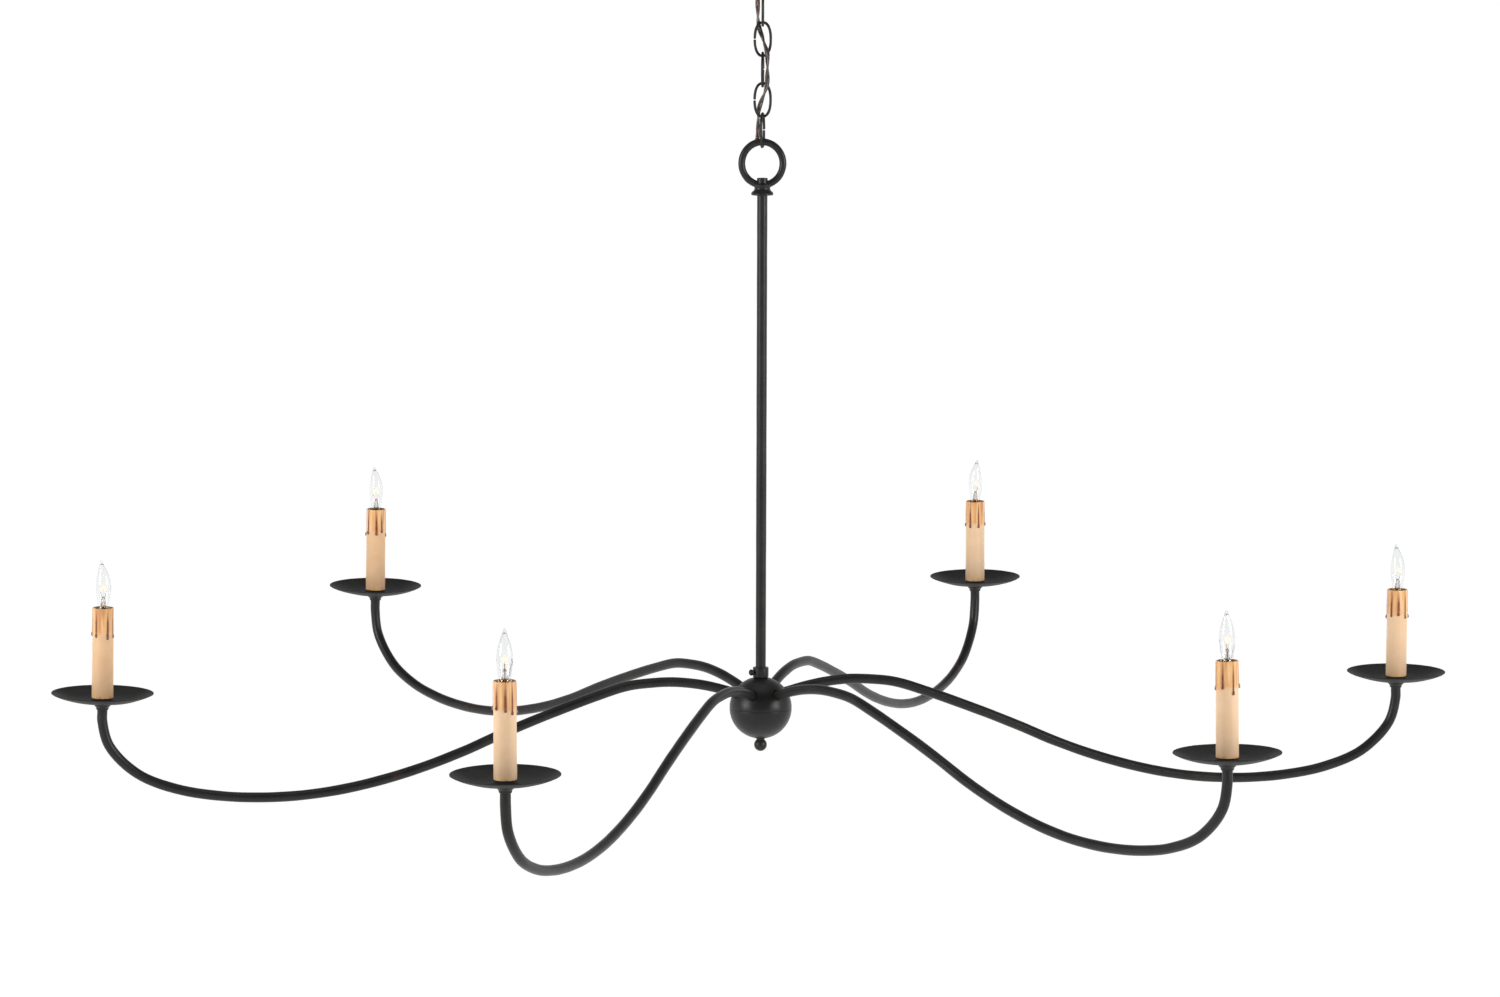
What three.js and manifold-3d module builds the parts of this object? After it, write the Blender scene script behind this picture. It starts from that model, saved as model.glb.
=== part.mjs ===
// Six-arm candle chandelier of hand-forged iron, hung on a chain from a ceiling canopy.
// Millimetres, +Z up. The origin is the centre of the face that lies against the ceiling, so the
// whole fixture hangs below z = 0. Heights inside the fixture group are taken from the hub's centre.
import * as THREE from "three";
import { mergeVertices } from "three/addons/utils/BufferGeometryUtils.js";
import Module from "manifold-3d";

const wasm = await Module();
wasm.setup();

// ---------- driving dimensions ----------
const hubDrop = 845; // ceiling plane down to the centre of the hub ball
const gap = 0.3; // play between neighbouring pieces

const canopy = { radius: 63.5, depth: 26, wall: 1.4, hole: 14.2 };
const crossbar = { length: 92, width: 20, thickness: 2.6, hole: 5.1, slot: 2.4, slotAt: 35 };
const nipple = { radius: 4.8, bore: 3.3, top: -0.6, bottom: -34 };
const nippleNut = { acrossFlats: 16, height: 4 };
const hangLoop = { base: 13.2, baseTop: -22, baseBottom: -43, bore: 4.2, mouth: 6.2, ring: 9.5, wire: 2.25 };
const collarRing = { radius: 17.5, bore: 13.6, height: 9, grips: 16 };

const link = { wire: 1.5, halfWidth: 8.7, inner: 33.3, pitch: 33, split: 0.5, fullness: 2.3 };
const chainTop = 789 - hubDrop; // top of the upper link, over the wire of the hang loop
const links = [
  { name: "chain_link_5", facing: false, turn: 0, split: 1 },
  { name: "chain_link_4", facing: true, turn: 2, split: -1 },
  { name: "chain_link_3", facing: false, turn: -3, split: 1 },
  { name: "chain_link_2", facing: true, turn: 1, split: -1 },
  { name: "chain_link_1", facing: false, turn: -11, split: 1 },
];

const topLoop = { height: 601.2, halfWidth: 22.45, halfHeight: 23.5, tube: 3.7, wireHole: 3.2 };
const stem = { radius: 5.65, bore: 3.8, bottom: 20.6, top: 571.5 };
const collar = { radius: 8.7, bore: 5.95, bottom: 34.2, top: 45.2 };
const setScrew = { azimuth: 208, height: 40, head: 3.5, shank: 1.5, bore: 1.8 };

const hub = { radius: 34.4, wall: 1.9, seam: 0.4 };
const cluster = { acrossFlats: 34, cavity: 10.6, top: 24, bottom: -3, plate: 6 };
const clusterCap = { radius: 16, thickness: 3 };
const tieRod = { radius: 2.4, top: -1, bottom: -44 };
const finial = { ball: 7.1, centre: -41.5, neck: 4.4 };

const armTube = { radius: 5.5, bore: 3.5 };
const wire = { radius: 1.6 };
const candleRadius = 723; // hub axis to candle axis
const candleHeight = 47; // candle's seat level above the hub centre, on an arm that does not droop

// Each arm was bent by hand: azimuth round the hub, droop below the common line, and how far the
// candle leans in towards the hub, all in degrees; flameTurn is the way its bulb's tip points.
const arms = [
  { azimuth: 8.97, droop: 2.1, lean: 0, flameTurn: 150 },
  { azimuth: 68.59, droop: -0.1, lean: 0.9, flameTurn: 250 },
  { azimuth: 129.88, droop: -0.4, lean: 1.4, flameTurn: 60 },
  { azimuth: 191.0, droop: 1.1, lean: 1.2, flameTurn: 10 },
  { azimuth: 249.67, droop: 0.3, lean: -0.5, flameTurn: 200 },
  { azimuth: 310.22, droop: 0.15, lean: 1.3, flameTurn: 300 },
];

// Centre line of an arm, (radius, height): out of the hub, over a shoulder, down in a long hollow
// sweep, and up steeply under the candle.
const armEntry = { r: 29, z: 17.5 };
const armLine = [
  [13, 13.4],
  [armEntry.r, armEntry.z],
  [50, 24],
  [71, 29],
  [98, 32.6],
  [124, 32.6],
  [150, 30.2],
  [184, 20.8],
  [246, 0],
  [292, -17],
  [332, -33],
  [373, -47],
  [415, -58.5],
  [460, -67.5],
  [506, -72.5],
  [553, -73],
  [599, -69],
  [646, -59],
  [688, -40],
  [717.5, -8],
];

const pan = { radius: 55, rim: 3.5, seat: -2, floor: -5.2, wall: 1.3, hole: 5.9 };
const sleeve = { top: 96.3, bottom: -1.6, topRadius: 11.2, bottomRadius: 11.65, bore: 10.2 };
const socket = { bottom: 4, foot: 4.6, body: 9.2, shoulder: 44, top: 93.5, bore: 6.5, depth: 24 };
const bulb = { cap: 5.8, capBottom: 71, neck: 6, belly: 8.25, bellyAt: 118, tip: 147.8, bend: 3 };

const Z = new THREE.Vector3(0, 0, 1);
const Y = new THREE.Vector3(0, 1, 0);
const rad = THREE.MathUtils.degToRad;

// ---------- materials ----------
const iron = () => new THREE.MeshStandardMaterial({ color: 0x3b3a39, roughness: 0.55, metalness: 0.7 });
const steel = () => new THREE.MeshStandardMaterial({ color: 0x8d8f92, roughness: 0.4, metalness: 0.9 });
const wax = () => new THREE.MeshStandardMaterial({ color: 0xd9b98a, roughness: 0.6, metalness: 0 });
const phenolic = () => new THREE.MeshStandardMaterial({ color: 0x1d1a18, roughness: 0.45, metalness: 0 });
const glass = () =>
  new THREE.MeshStandardMaterial({ color: 0xf6ead2, roughness: 0.05, metalness: 0, opacity: 0.4, transparent: true });
const cordPvc = () => new THREE.MeshStandardMaterial({ color: 0x6b4630, roughness: 0.35, metalness: 0 });
const wirePvc = () => new THREE.MeshStandardMaterial({ color: 0x20201f, roughness: 0.5, metalness: 0 });

// ---------- geometry helpers ----------
// A turned piece about Z from (radius, height) points, counter-clockwise with the axis on the left.
// A profile that leaves the axis open closes on itself.
function turned(points, sides) {
  const closed = points[0][0] > 0 ? [...points, points[0]] : points;
  const profile = closed.map(([r, z]) => new THREE.Vector2(r, z));
  return new THREE.LatheGeometry(profile, sides).rotateX(Math.PI / 2);
}

// A round rod through points, or a pipe when it has a bore.
function rod(points, radius, sides, steps, bore = 0, boreSides = 4) {
  const circle = (r, n) =>
    Array.from({ length: n }, (_, i) => {
      const a = (2 * Math.PI * i) / n;
      return new THREE.Vector2(r * Math.cos(a), r * Math.sin(a));
    });
  const section = new THREE.Shape(circle(radius, sides));
  if (bore) section.holes.push(new THREE.Path(circle(bore, boreSides)));
  const path = new THREE.CatmullRomCurve3(points);
  return new THREE.ExtrudeGeometry(section, { extrudePath: path, steps, bevelEnabled: false });
}

function solid(geometry) {
  const bare = geometry.clone();
  bare.deleteAttribute("normal");
  bare.deleteAttribute("uv");
  const merged = mergeVertices(bare, 1e-3);
  return new wasm.Manifold(
    new wasm.Mesh({
      numProp: 3,
      vertProperties: new Float32Array(merged.attributes.position.array),
      triVerts: new Uint32Array(merged.index.array),
    }),
  );
}

function geometryOf(body) {
  const mesh = body.getMesh();
  const geometry = new THREE.BufferGeometry();
  geometry.setAttribute("position", new THREE.BufferAttribute(mesh.vertProperties, 3));
  geometry.setIndex(new THREE.BufferAttribute(mesh.triVerts, 1));
  geometry.computeVertexNormals();
  return geometry;
}

const join = (first, ...others) => geometryOf(others.reduce((sum, g) => sum.add(solid(g)), solid(first)));
const cut = (first, ...others) => geometryOf(others.reduce((rest, g) => rest.subtract(solid(g)), solid(first)));

// An upright hexagonal prism standing on z = 0, with a round hole down its middle.
function hexPrism(acrossFlats, height, bore) {
  const corner = acrossFlats / 2 / Math.cos(Math.PI / 6);
  const outline = new THREE.Shape(
    Array.from({ length: 6 }, (_, i) =>
      new THREE.Vector2(corner * Math.cos((Math.PI * i) / 3), corner * Math.sin((Math.PI * i) / 3)),
    ),
  );
  outline.holes.push(new THREE.Path().absarc(0, 0, bore, 0, 2 * Math.PI, true));
  return new THREE.ExtrudeGeometry(outline, { depth: height, bevelEnabled: false, curveSegments: 8 });
}

// A straight pin from one point to another, used both for shanks and to drill holes.
function pin(from, to, radius, sides) {
  const along = new THREE.Vector3().subVectors(to, from);
  return new THREE.CylinderGeometry(radius, radius, along.length(), sides)
    .applyQuaternion(new THREE.Quaternion().setFromUnitVectors(Y, along.clone().normalize()))
    .translate(...from.clone().addScaledVector(along, 0.5));
}

function piece(group, name, geometry, material) {
  const mesh = new THREE.Mesh(geometry, material);
  mesh.name = name;
  group.add(mesh);
  return mesh;
}

// ---------- ceiling parts ----------
function canopyShell() {
  const { radius: r, depth: d, wall: w, hole } = canopy;
  const rim = -0.5;
  return turned(
    [
      [hole, -d - w],
      [r * 0.42, -d - w],
      [r * 0.74, -d * 0.84 - w],
      [r * 0.95, -d * 0.45],
      [r, rim],
      [r - w, rim],
      [r * 0.92, -d * 0.45 + w],
      [r * 0.72, -d * 0.84],
      [r * 0.42, -d],
      [hole, -d],
    ],
    24,
  );
}

function crossbarPlate() {
  const { length, width, thickness, hole, slot, slotAt } = crossbar;
  const plate = new THREE.BoxGeometry(length, width, thickness).translate(0, 0, -thickness / 2);
  const holes = [[0, hole], [slotAt, slot], [-slotAt, slot]].map(([x, r]) =>
    pin(new THREE.Vector3(x, 0, 2), new THREE.Vector3(x, 0, -thickness - 2), r, 12),
  );
  return cut(plate, ...holes);
}

function nippleTube() {
  const { radius, bore, top, bottom } = nipple;
  return turned([[bore, bottom], [radius, bottom], [radius, top], [bore, top]], 12);
}

function nippleNutBody() {
  const nut = hexPrism(nippleNut.acrossFlats, nippleNut.height, nipple.radius + gap);
  return nut.translate(0, 0, -crossbar.thickness - gap - nippleNut.height);
}

// Cast eye with a threaded round foot; the supply cord comes down its middle into the eye.
function hangLoopBody() {
  const { base, baseTop, baseBottom, bore, mouth, ring, wire: w } = hangLoop;
  const socketBottom = nipple.bottom - gap;
  const socketRadius = nipple.radius + gap;
  const foot = turned(
    [
      [bore, baseBottom + 4],
      [mouth, baseBottom],
      [base - 3, baseBottom],
      [base, baseBottom + 3],
      [base, baseTop],
      [socketRadius, baseTop],
      [socketRadius, socketBottom],
      [bore, socketBottom],
    ],
    20,
  );
  const eye = new THREE.TorusGeometry(ring, w, 8, 24)
    .rotateX(Math.PI / 2)
    .translate(0, 0, baseBottom + 3 - ring - w - gap);
  const below = new THREE.Vector3(0, 0, baseBottom - 3);
  const way = pin(new THREE.Vector3(0, 0, socketBottom), below, bore, 20);
  const flare = pin(new THREE.Vector3(0, 0, baseBottom + 0.5), below, mouth, 20);
  return geometryOf(solid(foot).add(solid(eye)).subtract(solid(way)).subtract(solid(flare)));
}

// Gripped ring that screws up the foot of the hang loop and holds the canopy against the ceiling.
function collarRingBody() {
  const { radius, bore, height, grips } = collarRing;
  const top = -canopy.depth - canopy.wall - gap;
  const outline = new THREE.Shape(
    Array.from({ length: grips * 2 }, (_, i) => {
      const r = i % 2 ? radius : radius - 0.7;
      const a = (Math.PI * i) / grips;
      return new THREE.Vector2(r * Math.cos(a), r * Math.sin(a));
    }),
  );
  outline.holes.push(new THREE.Path().absarc(0, 0, bore, 0, 2 * Math.PI, true));
  return new THREE.ExtrudeGeometry(outline, { depth: height, bevelEnabled: false, curveSegments: 12 })
    .translate(0, 0, top - height);
}

// ---------- chain ----------
// A link is a rod bent into a long oval, a little fuller than an ellipse; its two ends face each
// other at the middle of one side.
const linkSteps = 36;
function linkRod() {
  const { wire: w, halfWidth, inner, split, fullness } = link;
  const halfLength = inner / 2 + w;
  const stretch = (v) => Math.sign(v) * Math.abs(v) ** (2 / fullness);
  const start = Math.asin((split / 2 / halfLength) ** (fullness / 2));
  const points = Array.from({ length: linkSteps + 1 }, (_, i) => {
    const a = start + ((2 * Math.PI - 2 * start) * i) / linkSteps;
    return new THREE.Vector3(halfWidth * stretch(Math.cos(a)), 0, halfLength * stretch(Math.sin(a)));
  });
  return rod(points, w, 6, linkSteps);
}

// ---------- top loop, stem and hub ----------
function topLoopCasting() {
  const { height, halfWidth, halfHeight, tube, wireHole } = topLoop;
  const foot = turned(
    [
      [0, 579],
      [stem.bore, 579],
      [stem.bore, stem.top + gap],
      [stem.radius + gap, stem.top + gap],
      [stem.radius + gap, 566],
      [11.6, 566],
      [12.3, 566.8],
      [12.3, 569.2],
      [11.4, 570],
      [8.4, 570.8],
      [8.4, 580],
      [6, 580.4],
      [6, 584],
      [5.4, 584.6],
      [0, 584.6],
    ],
    16,
  );
  const eye = new THREE.TorusGeometry(halfHeight, tube, 8, 30)
    .rotateX(Math.PI / 2)
    .scale(halfWidth / halfHeight, 1, 1)
    .translate(0, 0, height);
  const clear = pin(new THREE.Vector3(0, 0, 572), new THREE.Vector3(0, 0, 579), stem.bore, 16);
  const entry = pin(new THREE.Vector3(0, 0, 575.6), new THREE.Vector3(0, 14, 575.6), wireHole, 10);
  return geometryOf(solid(foot).add(solid(eye)).subtract(solid(clear)).subtract(solid(entry)));
}

function stemTube() {
  const { radius, bore, bottom, top } = stem;
  return turned([[bore, bottom], [radius, bottom], [radius, top], [bore, top]], 16);
}

const screwWay = new THREE.Vector3(
  Math.cos(rad(setScrew.azimuth)),
  Math.sin(rad(setScrew.azimuth)),
  0,
);
const onScrew = (distance) => screwWay.clone().multiplyScalar(distance).setZ(setScrew.height);

function stemCollar() {
  const { radius, bore, bottom, top } = collar;
  const barrel = turned([[bore, bottom], [radius, bottom], [radius, top], [bore, top]], 20);
  return cut(barrel, pin(onScrew(3), onScrew(12), setScrew.bore, 8));
}

function setScrewBody() {
  const head = new THREE.SphereGeometry(setScrew.head, 10, 8).scale(1, 1, 0.8);
  head.applyQuaternion(new THREE.Quaternion().setFromUnitVectors(Z, screwWay));
  head.translate(...onScrew(collar.radius + setScrew.head));
  return join(head, pin(onScrew(stem.radius + gap), onScrew(collar.radius + 2), setScrew.shank, 8));
}

// Points on a circle about the hub centre, from one elevation to another, in degrees.
const arc = (r, from, to, n) =>
  Array.from({ length: n + 1 }, (_, i) => {
    const a = rad(from + ((to - from) * i) / n);
    return [r * Math.cos(a), r * Math.sin(a)];
  });

function hubHalf(lower, hole) {
  const outer = hub.radius;
  const inner = hub.radius - hub.wall;
  const seam = (r) => THREE.MathUtils.radToDeg(Math.asin(hub.seam / 2 / r));
  const pole = (r) => THREE.MathUtils.radToDeg(Math.acos(hole / r));
  const upperProfile = [
    ...arc(outer, seam(outer), pole(outer), 6),
    ...arc(inner, pole(inner), seam(inner), 4),
  ];
  if (!lower) return turned(upperProfile, 20);
  return turned(upperProfile.map(([r, z]) => [r, -z]).reverse(), 20);
}

// ---------- arms ----------
// Bends the common centre line down by the arm's droop, about the point where it enters the hub.
function droopPoint(r, z, droop) {
  const a = rad(droop);
  const x = r - armEntry.r;
  const h = z - armEntry.z;
  return new THREE.Vector3(
    armEntry.r + x * Math.cos(a) + h * Math.sin(a),
    0,
    armEntry.z - x * Math.sin(a) + h * Math.cos(a),
  );
}

const candleSeat = (arm) => droopPoint(candleRadius, candleHeight, arm.droop);
const candleAxis = (arm) => new THREE.Vector3(-Math.sin(rad(arm.lean)), 0, Math.cos(rad(arm.lean)));

// The arm ends in a straight stretch along the candle's axis, which carries cup, pan and socket.
function armPoints(arm) {
  const seat = candleSeat(arm);
  const up = candleAxis(arm);
  const tail = [-27, -18, -9, 3].map((h) => seat.clone().addScaledVector(up, h));
  return [...armLine.map(([r, z]) => droopPoint(r, z, arm.droop)), ...tail];
}

const armSteps = 28;
const armPipe = (arm) => rod(armPoints(arm), armTube.radius, 8, armSteps, armTube.bore, 4);

// The lead inside an arm follows the same line, and goes on to the splice on the hub axis.
function armLead(arm) {
  const points = [new THREE.Vector3(0, 0, 9), ...armPoints(arm)];
  return rod(points, wire.radius, 4, armSteps + 1).rotateZ(rad(arm.azimuth));
}

function harness() {
  const splice = turned([[0, 4], [5, 4], [5, 15], [2.4, 17], [2.4, 560], [0, 560]], 8);
  return join(splice, ...arms.map(armLead));
}

// A hexagonal box casting: the arms screw into its six walls and the stem into its top.
function clusterBody() {
  const { acrossFlats, cavity, top, bottom, plate } = cluster;
  const upright = (z) => new THREE.Vector3(0, 0, z);
  const box = hexPrism(acrossFlats, top - bottom, stem.bore).translate(0, 0, bottom);
  const facing = arms[0].azimuth + 30;
  return cut(
    box.rotateZ(rad(facing)),
    pin(upright(bottom - 1), upright(top - plate), cavity, 16),
    pin(upright(stem.bottom - gap), upright(top + 1), stem.radius + gap, 16),
    ...arms.map((arm) => armDrill(arm, armTube.radius + 0.5)),
  );
}

// The hole that an arm goes through, along its own first stretch.
function armDrill(arm, radius) {
  const from = droopPoint(6, 11.6, arm.droop);
  const to = droopPoint(40, 20.7, arm.droop);
  return pin(from, to, radius, 12).rotateZ(rad(arm.azimuth));
}

function upperShell() {
  return cut(hubHalf(false, stem.radius + gap), ...arms.map((arm) => armDrill(arm, armTube.radius + 0.7)));
}

function capPlate() {
  const top = cluster.bottom - gap;
  const bottom = top - clusterCap.thickness;
  const bore = tieRod.radius + gap;
  const { radius } = clusterCap;
  return turned([[bore, bottom], [radius, bottom], [radius, top], [bore, top]], 12);
}

function finialBody() {
  const { ball, centre, neck } = finial;
  const bore = tieRod.radius + gap;
  const neckTop = -hub.radius - gap;
  const neckAngle = THREE.MathUtils.radToDeg(Math.acos(neck / ball));
  const globe = arc(ball, -90, neckAngle, 8).map(([r, z]) => [Math.max(r, 0), z + centre]);
  globe[0][0] = 0;
  return turned(
    [...globe, [neck, neckTop], [bore, neckTop], [bore, tieRod.bottom - gap], [0, tieRod.bottom - gap]],
    14,
  );
}

// ---------- candles ----------
function panCup() {
  const bore = armTube.radius + 0.45;
  return turned(
    [[bore, -15], [6.4, -15], [9.6, -11], [9.6, -7.2], [bore, -7.2]],
    12,
  );
}

// A shallow dish with a raised seat in the middle.
function dripPan() {
  const { radius: r, rim, seat, floor, wall: w, hole } = pan;
  return turned(
    [
      [hole, floor - w],
      [24, floor - w],
      [42, floor - w + 3],
      [r, rim - w],
      [r - 0.4, rim],
      [41, floor + 3.2],
      [24, floor],
      [13.6, floor],
      [12.8, seat],
      [hole, seat],
    ],
    18,
  );
}

function candleSleeve() {
  const { top, bottom, topRadius, bottomRadius, bore } = sleeve;
  return turned([[bore, bottom], [bottomRadius, bottom], [topRadius, top], [bore, top]], 12);
}

function lampSocket() {
  const { bottom, foot, body, shoulder, top, bore, depth } = socket;
  return turned(
    [
      [0, bottom],
      [foot, bottom],
      [foot, shoulder - 8],
      [body, shoulder],
      [body, top],
      [bore, top],
      [bore, top - depth],
      [0, top - depth],
    ],
    10,
  );
}

// Flame-shaped lamp: screw cap, waist, belly, and a tip drawn out and bent over.
function flameBulb(turn) {
  const { cap, capBottom, neck, belly, bellyAt, tip, bend } = bulb;
  const lamp = turned(
    [
      [0, capBottom],
      [cap, capBottom + 2],
      [cap, 92],
      [neck, 97],
      [belly * 0.9, bellyAt - 10],
      [belly, bellyAt],
      [belly * 0.86, bellyAt + 8],
      [belly * 0.5, bellyAt + 17],
      [1.5, tip - 4],
      [0, tip],
    ],
    10,
  );
  const at = lamp.attributes.position;
  for (let i = 0; i < at.count; i++) {
    const t = Math.max(0, (at.getZ(i) - bellyAt) / (tip - bellyAt));
    at.setX(i, at.getX(i) + bend * t * t);
  }
  return lamp.rotateZ(rad(turn));
}

// ---------- supply cord ----------
// Route of the cord in the hub's heights: out of the hang loop, woven down through the chain,
// behind the left side of the top loop and into the hole in the back of its foot.
const cordRadius = 2.7;
const cordRoute = [
  [0, 0, 810],
  [0, 0, 803],
  [-0.3, 1.3, 798],
  [-1.8, 4.3, 793],
  [-4, 6.5, 788],
  [-5.4, 7, 782],
  [-5.7, 6.8, 775],
  [-5.4, 5.6, 767],
  [-5.1, 4.9, 756],
  [-3.8, 4.4, 748],
  [-0.6, 1.6, 739],
  [2, -1.8, 731],
  [4.8, -4.8, 721],
  [5.1, -5.3, 711],
  [5.1, -5, 700],
  [4.9, -5, 689],
  [2.4, -2.2, 679],
  [-1.7, 1.5, 668],
  [-4.4, 4.9, 657],
  [-4.6, 5.8, 648],
  [-4.6, 6.8, 639],
  [-4.8, 7.4, 632.5],
  [-6.4, 7.6, 626.8],
  [-10.2, 7.6, 622.4],
  [-15, 7.5, 618],
  [-19.4, 7.4, 611.8],
  [-22, 7.4, 602.5],
  [-21.2, 7.6, 592],
  [-17, 9, 583],
  [-9.8, 12.4, 577],
  [-3, 13, 575.6],
  [0, 10.2, 575.6],
  [0, 5, 575.6],
];
const supplyCord = () =>
  rod(cordRoute.map((p) => new THREE.Vector3(...p)), cordRadius, 8, 44);

// ---------- assembly ----------
const chandelier = new THREE.Group();

piece(chandelier, "crossbar", crossbarPlate(), steel());
piece(chandelier, "nipple", nippleTube(), steel());
piece(chandelier, "nipple_nut", nippleNutBody(), steel());
piece(chandelier, "canopy", canopyShell(), iron());
piece(chandelier, "canopy_ring", collarRingBody(), iron());
piece(chandelier, "hang_loop", hangLoopBody(), iron());

links.forEach(({ name, facing, turn, split }, i) => {
  const bar = piece(chandelier, name, linkRod(), iron());
  bar.position.z = chainTop - link.inner / 2 - link.wire * 2 - i * link.pitch;
  bar.rotation.z = rad(turn + (facing ? 0 : 90) + (split > 0 ? 0 : 180));
});

const fixture = new THREE.Group();
fixture.position.z = -hubDrop;
chandelier.add(fixture);

piece(fixture, "supply_cord", supplyCord(), cordPvc());
piece(fixture, "top_loop", topLoopCasting(), iron());
piece(fixture, "stem", stemTube(), iron());
piece(fixture, "stem_collar", stemCollar(), iron());
piece(fixture, "set_screw", setScrewBody(), iron());
piece(fixture, "hub_upper_shell", upperShell(), iron());
piece(fixture, "hub_lower_shell", hubHalf(true, tieRod.radius + gap), iron());
piece(fixture, "cluster_body", clusterBody(), steel());
piece(fixture, "cluster_cap", capPlate(), steel());
piece(
  fixture,
  "tie_rod",
  pin(new THREE.Vector3(0, 0, tieRod.bottom), new THREE.Vector3(0, 0, tieRod.top), tieRod.radius, 10),
  steel(),
);
piece(fixture, "finial", finialBody(), iron());
piece(fixture, "wire_harness", harness(), wirePvc());

arms.forEach((arm, i) => {
  const n = i + 1;
  const side = new THREE.Group();
  side.rotation.z = rad(arm.azimuth);
  fixture.add(side);
  piece(side, `arm_${n}`, armPipe(arm), iron());

  const candle = new THREE.Group();
  candle.position.copy(candleSeat(arm));
  candle.rotation.y = -rad(arm.lean);
  side.add(candle);
  piece(candle, `pan_cup_${n}`, panCup(), iron());
  piece(candle, `drip_pan_${n}`, dripPan(), iron());
  piece(candle, `lamp_socket_${n}`, lampSocket(), phenolic());
  piece(candle, `candle_sleeve_${n}`, candleSleeve(), wax());
  piece(candle, `bulb_${n}`, flameBulb(arm.flameTurn), glass());
});

export default chandelier;
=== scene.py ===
"""Six-arm candle chandelier of hand-forged black iron, with its chain, cord and flame lamps.

Metres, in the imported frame: the origin is the centre of the face against the ceiling. Heights named
in the hub's frame are moved down by HUB when they are used.
"""

import math
import random

import bmesh
import bpy
import numpy as np
from mathutils import Matrix, Vector, noise


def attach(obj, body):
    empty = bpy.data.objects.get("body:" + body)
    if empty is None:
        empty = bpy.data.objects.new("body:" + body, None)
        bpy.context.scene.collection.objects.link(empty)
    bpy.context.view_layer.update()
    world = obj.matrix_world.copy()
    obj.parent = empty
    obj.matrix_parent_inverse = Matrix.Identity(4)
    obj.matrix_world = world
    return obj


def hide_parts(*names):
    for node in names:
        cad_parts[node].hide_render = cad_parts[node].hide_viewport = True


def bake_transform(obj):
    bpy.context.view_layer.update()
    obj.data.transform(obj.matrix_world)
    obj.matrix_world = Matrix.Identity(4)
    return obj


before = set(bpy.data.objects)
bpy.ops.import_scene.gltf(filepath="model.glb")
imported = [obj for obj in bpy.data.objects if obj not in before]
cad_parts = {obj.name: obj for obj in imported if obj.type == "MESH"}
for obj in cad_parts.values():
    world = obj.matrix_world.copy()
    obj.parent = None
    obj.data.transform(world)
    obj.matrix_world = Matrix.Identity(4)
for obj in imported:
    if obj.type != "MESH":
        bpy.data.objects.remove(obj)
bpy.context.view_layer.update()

# ---------- driving sizes ----------
HUB = -0.845  # height of the hub's centre
GAP = 0.0003  # play between neighbouring pieces

CANOPY = {"radius": 0.0635, "depth": 0.026, "wall": 0.0014, "hole": 0.0142, "rim": -0.0005}
CROSSBAR = {"length": 0.092, "width": 0.02, "thickness": 0.0026, "hole": 0.0051, "slot": 0.0024}
NIPPLE = {"radius": 0.0048, "bore": 0.0033, "top": -0.0006, "bottom": -0.034, "pitch": 0.0014}
NUT = {"across_flats": 0.016, "height": 0.004}
HANG_LOOP = {"base": 0.0132, "top": -0.022, "bottom": -0.043, "bore": 0.0042, "mouth": 0.0062}
HANG_EYE = {"radius": 0.0095, "wire": 0.00225, "centre": -0.05205}
RING = {"radius": 0.0175, "bore": 0.0136, "height": 0.009, "grips": 16}

LINK = {"wire": 0.0015, "half_width": 0.0087, "half_length": 0.01815, "pitch": 0.033, "split": 0.0005}
LINK_FULLNESS = 2.3  # 2 is an ellipse, more is fuller in the corners
TOP_LINK = -0.07565  # centre of the upper link
# Each link's number, whether it faces the front, its turn in degrees and the side its split is on.
LINKS = [(5, False, 0, 1), (4, True, 2, -1), (3, False, -3, 1), (2, True, 1, -1), (1, False, -11, 1)]

TOP_LOOP = {"height": 0.6012, "half_width": 0.02245, "half_height": 0.0235, "tube": 0.0039}
STEM = {"radius": 0.00565, "bore": 0.0038, "bottom": 0.0206, "top": 0.5715}
COLLAR = {"radius": 0.0087, "bore": 0.00595, "bottom": 0.0342, "top": 0.0452}
SET_SCREW = {"azimuth": 208, "height": 0.04, "head": 0.0035, "shank": 0.0015}
HUB_BALL = {"radius": 0.0344, "wall": 0.0019, "seam": 0.0002}
FINIAL = {"ball": 0.0071, "centre": -0.0415, "neck": 0.0044}
TIE_ROD = {"radius": 0.0024, "bottom": -0.044}

ARM_TUBE = 0.0055
CANDLE_RADIUS = 0.723
CANDLE_HEIGHT = 0.047
# Azimuth round the hub, droop, lean towards the hub and turn of the flame's tip, in degrees, as each
# arm was bent and each lamp screwed in.
ARMS = [
    (8.97, 2.1, 0, 150),
    (68.59, -0.1, 0.9, 250),
    (129.88, -0.4, 1.4, 60),
    (191.0, 1.1, 1.2, 10),
    (249.67, 0.3, -0.5, 200),
    (310.22, 0.15, 1.3, 300),
]
ARM_ENTRY = (0.029, 0.0175)
# Centre line of an arm, as (radius, height), up to where it straightens under the candle.
ARM_LINE = [
    (0.013, 0.0134), ARM_ENTRY, (0.050, 0.024), (0.071, 0.029),
    (0.098, 0.0326), (0.124, 0.0326), (0.150, 0.0302), (0.184, 0.0208),
    (0.246, 0), (0.292, -0.017), (0.332, -0.033), (0.373, -0.047),
    (0.415, -0.0585), (0.460, -0.0675), (0.506, -0.0725), (0.553, -0.073),
    (0.599, -0.069), (0.646, -0.059), (0.688, -0.040), (0.7175, -0.008),
]
ARM_TAIL = [-0.027, -0.018, -0.009, 0.003]  # heights of the straight stretch, up the candle's axis

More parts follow.
